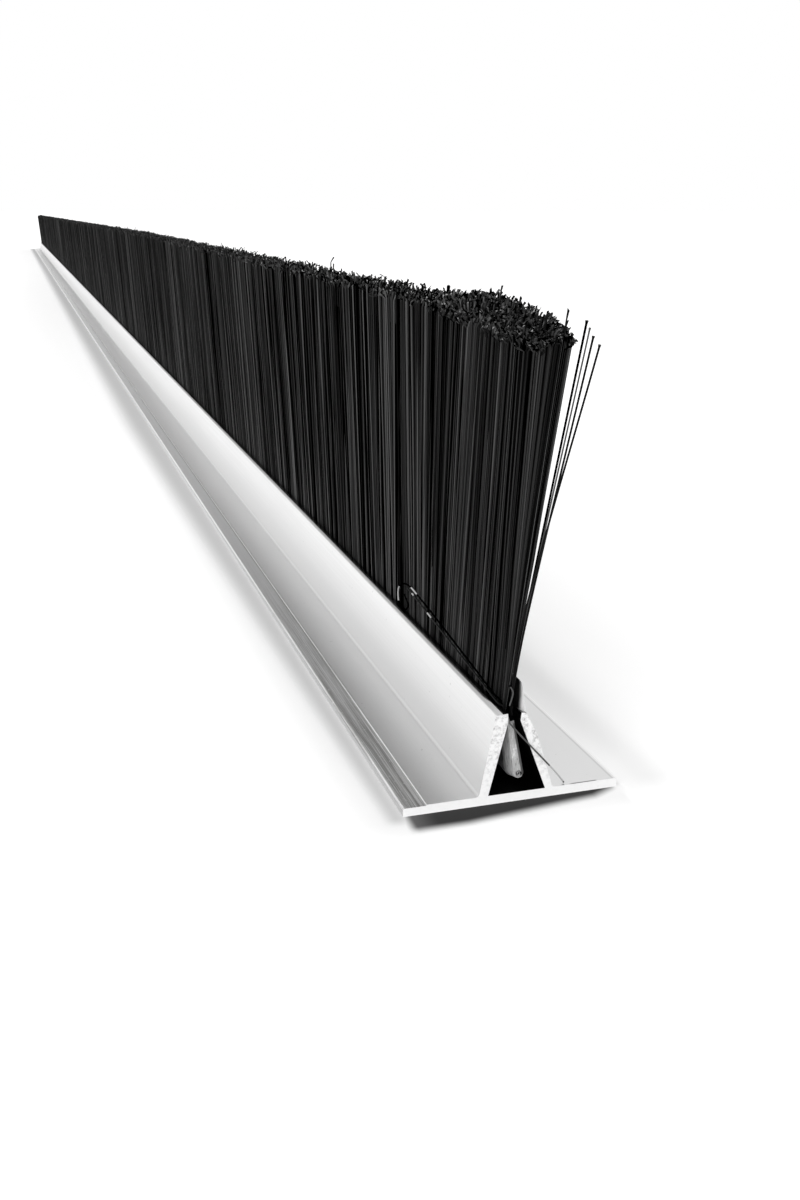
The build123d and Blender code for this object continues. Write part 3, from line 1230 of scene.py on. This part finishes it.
@dataclass
class LooseBristles:
    """Single bristles at the near end, each a round filament along a smooth line."""

    near_end: float = -1000.0
    sides: int = 10
    step: float = 0.25
    flare_length: float = 0.35
    sag_place: float = 0.27
    crossing: Strand = Strand(
        ((-0.5, 1.5, 9.5), (-0.56, 0.5, 9.4), (-0.56, -0.15, 8.9), (4.6, -0.15, 2.9), (6.0, 0.5, 1.11)),
        PaintedLight.PALE, ((0.74, 1.0),), PaintedLight.GLINT, 0.09,
    )
    kinked: Strand = Strand(
        ((-0.2, 1.0, 9.0), (-0.36, 0.8, 10.3), (-0.1, 0.8, 11.2), (0.0, 0.75, 12.0), (-0.42, 0.8, 12.8)),
        PaintedLight.BLACK, ((0.4, 0.95),), radius=0.075,
    )
    laid: Strand = Strand(
        ((-0.5, 1.9, 9.3), (-0.62, 1.7, 10.1), (-0.94, 2.3, 10.25), (-1.0, 6.0, 10.7), (-1.2, 33.0, 13.7)),
        PaintedLight.DIM, ((0.72, 0.76), (0.93, 0.95)), PaintedLight.GLINT,
    )
    curled: Strand = Strand(
        (
            (-0.45, 2.35, 9.5), (-0.72, 2.25, 10.55), (-1.02, 3.1, 10.85), (-1.12, 9.0, 11.7),
            (-1.28, 30.5, 14.2), (-1.34, 34.0, 14.0), (-1.32, 36.6, 12.6), (-1.2, 36.8, 10.7),
            (-1.16, 34.2, 10.5), (-1.28, 32.6, 11.6), (-1.6, 33.2, 12.9),
        ),
        PaintedLight.BLACK, ((0.64, 0.69), (0.8, 0.86)), PaintedLight.GLINT,
    )
    splayed: tuple[Strand, ...] = (
        splayed_strand((-0.19, 1.98, 8.92), (2.2, -8.0, 49.8), -0.1, PaintedLight.BLACK, 0.11),
        splayed_strand((0.03, 1.92, 8.91), (2.4, -8.25, 49.2), -0.3, PaintedLight.PALE, 0.08),
        splayed_strand((0.18, 1.91, 8.91), (3.1, -8.9, 47.8), -1.05, PaintedLight.DIM, 0.1),
        splayed_strand((-0.06, 1.67, 8.99), (2.7, -8.4, 48.5), -0.35, PaintedLight.DIM, 0.1),
    )

    def line(self, strand: Strand) -> np.ndarray:
        """The smooth line that a bristle follows.

        Args:
            strand: The bristle.

        Returns:
            Closely spaced points in the part's frame.
        """
        points = strand.path
        if strand.sag:
            root, tip = points
            bent = [low + (high - low) * self.sag_place for low, high in zip(root, tip)]
            points = (root, (bent[0] + strand.sag, bent[1], bent[2]), tip)
        given = np.array([(x, self.near_end + inwards, z) for x, inwards, z in points])
        padded = np.concatenate([[2 * given[0] - given[1]], given, [2 * given[-1] - given[-2]]])
        line = [given[0]]
        for before, start, end, after in zip(padded, padded[1:], padded[2:], padded[3:]):
            reach = np.linalg.norm(end - start)
            # A tangent no longer than its own run keeps short runs from looping
            out = (end - before) * reach / (np.linalg.norm(end - start) + np.linalg.norm(start - before))
            into = (after - start) * reach / (np.linalg.norm(end - start) + np.linalg.norm(after - end))
            for share in np.linspace(0, 1, max(4, int(reach / self.step)) + 1)[1:]:
                square, cube = share**2, share**3
                line.append(
                    (2 * cube - 3 * square + 1) * start + (cube - 2 * square + share) * out
                    + (3 * square - 2 * cube) * end + (cube - square) * into
                )
        return np.array(line)

    def tube(self, strand: Strand) -> Form:
        """A round filament along a bristle's line.

        Args:
            strand: The bristle.

        Returns:
            The form.
        """
        line = self.line(strand)
        count = len(line)
        ways = np.gradient(line, axis=0)
        ways /= np.linalg.norm(ways, axis=1, keepdims=True)
        side = np.cross(ways[0], (0.3, 1.0, 0.2))
        rings = []
        walked = np.concatenate([[0], np.cumsum(np.linalg.norm(np.diff(line, axis=0), axis=1))])
        angles = np.arange(self.sides) * (2 * np.pi / self.sides)
        for point, way, here in zip(line, ways, walked):
            side = side - way * (side @ way)
            side /= np.linalg.norm(side)
            other = np.cross(way, side)
            near_tip = np.clip(1 - (walked[-1] - here) / self.flare_length, 0, 1)
            wide = strand.radius * (1 + (strand.flare - 1) * near_tip**2)
            rings.append(point + wide * (np.cos(angles)[:, None] * side + np.sin(angles)[:, None] * other))
        number = np.arange(count * self.sides).reshape(count, self.sides)
        following = np.roll(number, -1, axis=1)
        quads = np.stack(ring_corners(number, following), axis=-1).reshape(-1, 4)
        ends = np.stack([number[0][::-1], number[-1]])
        row = walked / walked[-1]
        near, up = np.meshgrid(np.arange(self.sides) / self.sides, row)
        quad_places = ring_places(near, near + 1 / self.sides, up)
        circle = np.stack([np.cos(angles), np.sin(angles)], axis=-1) * 0.02 + 0.5
        end_places = np.stack([circle[::-1], circle])
        slots = np.full((count - 1, self.sides), side_number(strand.painted_light))
        for start, end in strand.glints:
            slots[(row[1:] > start) & (row[1:] < end)] = side_number(strand.shine)
        return Form(
            np.concatenate(rings),
            [quads, ends],
            [quad_places, end_places],
            [slots.ravel(), cut_number(Cut.PLAIN)],
        )

    def build(self, finishes: Finishes) -> list[bpy.types.Object]:
        """Make the single bristles.

        Args:
            finishes: The finishes.

        Returns:
            One piece for each node that it stands for.
        """
        forms = {
            "crossing_bristle": self.tube(self.crossing),
            "kinked_bristle": self.tube(self.kinked),
            "laid_bristle": self.tube(self.laid),
            "curled_bristle": self.tube(self.curled),
            "splayed_bristles": joined([self.tube(strand) for strand in self.splayed]),
        }
        pieces = []
        for node, form in forms.items():
            piece = form.build(f"round_{node}", finishes.filament_slots())
            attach(piece, BODY)
            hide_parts(node)
            pieces.append(piece)
        return pieces


@dataclass
class Holder:
    """The pieces that keep their own shapes: the bar, the strip and the wire."""

    def build(self, nodes: dict[str, bpy.types.Object], finishes: Finishes) -> list[bpy.types.Object]:
        """Give each node its finish.

        Args:
            nodes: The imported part's nodes.
            finishes: The finishes.

        Returns:
            The dressed nodes.
        """
        worn = {
            "carrier_profile": finishes.aluminium,
            "clamp_strip": finishes.strip,
            "core_wire": finishes.wire,
        }
        for name, material in worn.items():
            node = nodes[name]
            for place in node.material_slots:
                place.link = "OBJECT"
                place.material = material
        return [nodes[name] for name in worn]


@dataclass(frozen=True)
class ContactShade:
    """The shadow painted on the floor under the near end and beside the bar."""

    half_width: float = 12.0
    half_length: float = 1000.0
    touching: Edge = (-0.1, 0.2)
    # In front of the near end
    reach: float = 2.5
    reach_slope: float = 0.12
    longest_reach: float = 3.2
    corner_slope: float = 0.45
    end_edge: Edge = (0.0, 1.9)
    side_edge: Edge = (-0.2, 1.4)
    deepest: float = 0.955
    left_edge: Edge = (10.0, 3.0)
    left_loss: float = 0.08
    # Left of the bar, wider further away
    soft: float = 0.34
    soft_width: float = 2.2
    widening: float = 0.022
    widening_length: float = 250.0
    soft_edge: Edge = (0.75, 0.9)
    soft_end: Edge = (1.2, 2.4)
    # Right of the bar, as a broad shade and a thin line
    broad: float = 0.11
    broad_start: Edge = (2.0, 5.0)
    broad_end: Edge = (8.0, 12.0)
    thin: float = 0.2
    thin_edge: Edge = (0.6, 0.6)
    right_end: Edge = (0.5, 4.0)
    far_end: Edge = (998.0, 4.0)

    def under_end(self, across: Wire, front: Wire) -> Wire:
        """How dark the floor is in front of the near end.

        Args:
            across: The place across the bar.
            front: The place in front of its end.

        Returns:
            The shade, from 0 to 1.
        """
        reach = (self.reach - across * self.reach_slope).at_most(self.longest_reach)
        reach = reach.at_most((self.half_width - across) * self.corner_slope)
        deep = 1 - (front - reach).over(*self.end_edge)
        deep = deep * (1 - (abs(across) - self.half_width).over(*self.side_edge))
        deep = deep * front.over(*self.touching)
        return deep * (self.deepest - (-across).over(*self.left_edge) * self.left_loss)

    def beside(self, across: Wire, along: Wire, front: Wire) -> Wire:
        """How dark the floor is on both sides of the bar.

        Args:
            across: The place across the bar.
            along: The place along it.
            front: The place in front of its end.

        Returns:
            The shade, from 0 to 1.
        """
        left = -across - self.half_width
        further = (along + self.half_length).at_least(0.0).at_most(self.widening_length)
        soft = 1 - (left / (self.soft_width + further * self.widening)).over(*self.soft_edge)
        soft = soft * (1 - front.over(*self.soft_end)) * left.over(*self.touching) * self.soft
        right = across - self.half_width
        broad = right.over(*self.broad_start) * (1 - right.over(*self.broad_end)) * self.broad
        thin = (1 - right.over(*self.thin_edge)) * right.over(*self.touching) * self.thin
        other = broad.at_least(thin) * (1 - front.over(*self.right_end))
        return soft.at_least(other) * (1 - along.over(*self.far_end))

    def depth(self, across: Wire, along: Wire) -> Wire:
        """How dark the floor is where the bar stands on it.

        Args:
            across: The place across the bar.
            along: The place along it.

        Returns:
            The shade, from 0 in the open to 1.
        """
        front = -along - self.half_length
        return self.under_end(across, front).at_least(self.beside(across, along, front))


@dataclass
class Studio:
    """The camera, the floor and the light."""

    camera_at: Point = (-44.83, -1106.42, 58.90)
    camera_right: Point = (0.95634, -0.29224, 0.0)
    camera_up: Point = (0.08912, 0.29164, 0.95237)
    camera_back: Point = (-0.27832, -0.91079, 0.30496)
    lens: float = 36.5
    sensor: float = 36.0
    floor_half: float = 60.0
    floor_colour: float = 0.8
    # How much painted light lifts the floor towards white under the bar, near it, further off, right of it
    # and far along
    lift: float = 0.26
    near_lift: float = 0.2
    open_lift: float = 0.15
    right_lift: float = 0.09
    far_lift: float = 0.1
    near_edge: Edge = (5.0, 7.0)
    open_edge: Edge = (60.0, 100.0)
    right_start: Edge = (12.0, 0.5)
    right_end: Edge = (16.0, 4.0)
    far_edge: Edge = (0.0, 900.0)
    sky: float = 0.62
    lamp_watts: float = 12.0
    lamp_size: float = 1.2
    lamp_at: Point = (-0.7, -1.9, 0.9)
    lamp_aim: Point = (0.0, -0.95, 0.0)

    def camera(self) -> bpy.types.Object:
        """Place the camera where the photograph was taken from.

        Returns:
            The camera.
        """
        data = bpy.data.cameras.new("camera")
        data.lens = self.lens
        data.sensor_width = self.sensor
        data.clip_start = 0.01
        data.clip_end = 200.0
        made = bpy.data.objects.new("camera", data)
        turn = Matrix((self.camera_right, self.camera_up, self.camera_back)).transposed()
        made.matrix_world = Matrix.Translation(Vector(self.camera_at) * MM) @ turn.to_4x4()
        bpy.context.scene.collection.objects.link(made)
        bpy.context.scene.camera = made
        return made

    def floor(self) -> bpy.types.Object:
        """Lay a pale floor that turns white a little way off through painted light, and keeps the shadow of
        the bar, which is also painted into its colour.

        Returns:
            The floor.
        """
        shader = Shader("pale_floor")
        across, along, _ = shader.axes()
        shade = ContactShade()
        outside_x = (abs(across) - shade.half_width).at_least(0.0)
        outside_y = (abs(along) - shade.half_length).at_least(0.0)
        distance = (outside_x * outside_x + outside_y * outside_y).apply("SQRT")
        right = across.over(*self.right_start) * (1 - across.over(*self.right_end))
        lift = self.lift + distance.over(*self.near_edge) * self.near_lift
        lift = lift + distance.over(*self.open_edge) * self.open_lift
        lift = lift + right * self.right_lift + along.over(*self.far_edge) * self.far_lift
        lit = 1 - shade.depth(across, along)
        colour = grey(self.floor_colour)
        plain = shader.node("ShaderNodeBsdfDiffuse", inputs={"Color": colour})
        lifted = shader.principled({
            "Base Color": shader.mix(lit, grey(0.0), colour),
            "Roughness": 1.0,
            "Specular IOR Level": 0.0,
            "Emission Color": shader.mix(lit * lift, grey(0.0), grey(1.0)),
            "Emission Strength": 1.0,
        })
        both = {0: shader.seen(), 1: Wire(shader, plain.outputs[0]), 2: lifted}
        mixed = shader.node("ShaderNodeMixShader", inputs=both)
        material = shader.close(Wire(shader, mixed.outputs[0]))
        mesh = bpy.data.meshes.new("floor")
        half = self.floor_half
        square = [(-half, -half, 0), (half, -half, 0), (half, half, 0), (-half, half, 0)]
        mesh.from_pydata(square, [], [(0, 1, 2, 3)])
        mesh.materials.append(material)
        made = bpy.data.objects.new("floor", mesh)
        bpy.context.scene.collection.objects.link(made)
        return made

    def room(self) -> None:
        """Surround the part with a white room."""
        world = bpy.data.worlds.new("room")
        world.use_nodes = True
        graph = Graph(world.node_tree)
        strength = graph.seen() * (1 - self.sky) + self.sky
        sky = graph.node("ShaderNodeBackground", inputs={"Color": grey(1.0), "Strength": strength})
        graph.node("ShaderNodeOutputWorld", inputs={0: Wire(graph, sky.outputs[0])})
        bpy.context.scene.world = world

    def lamp(self) -> None:
        """Hang one broad lamp above."""
        data = bpy.data.lights.new("ceiling_lamp", "AREA")
        data.shape = "RECTANGLE"
        data.size = self.lamp_size
        data.size_y = self.lamp_size
        data.energy = self.lamp_watts
        made = bpy.data.objects.new("ceiling_lamp", data)
        made.location = self.lamp_at
        aim = Vector(self.lamp_aim) - made.location
        made.rotation_euler = aim.to_track_quat("-Z", "Y").to_euler()
        bpy.context.scene.collection.objects.link(made)

    def build(self) -> None:
        """Set up everything that isn't the part."""
        self.camera()
        self.floor()
        self.room()
        self.lamp()
        bpy.context.scene.view_settings.view_transform = "Standard"


def main() -> None:
    """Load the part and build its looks."""
    logging.basicConfig(level=logging.INFO, format="%(message)s")
    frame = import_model()
    Studio().build()
    finishes = Finishes()
    pieces = Holder().build(frame["nodes"], finishes)
    pieces += BristlePack().build(finishes)
    pieces.append(BristleCore().build(finishes))
    pieces.append(BristleRoot().build(finishes))
    pieces += LooseBristles().build(finishes)
    for piece in pieces:
        LOG.info("%s: %d faces", piece.name, len(piece.data.polygons))


if __name__ == "__main__":
    main()
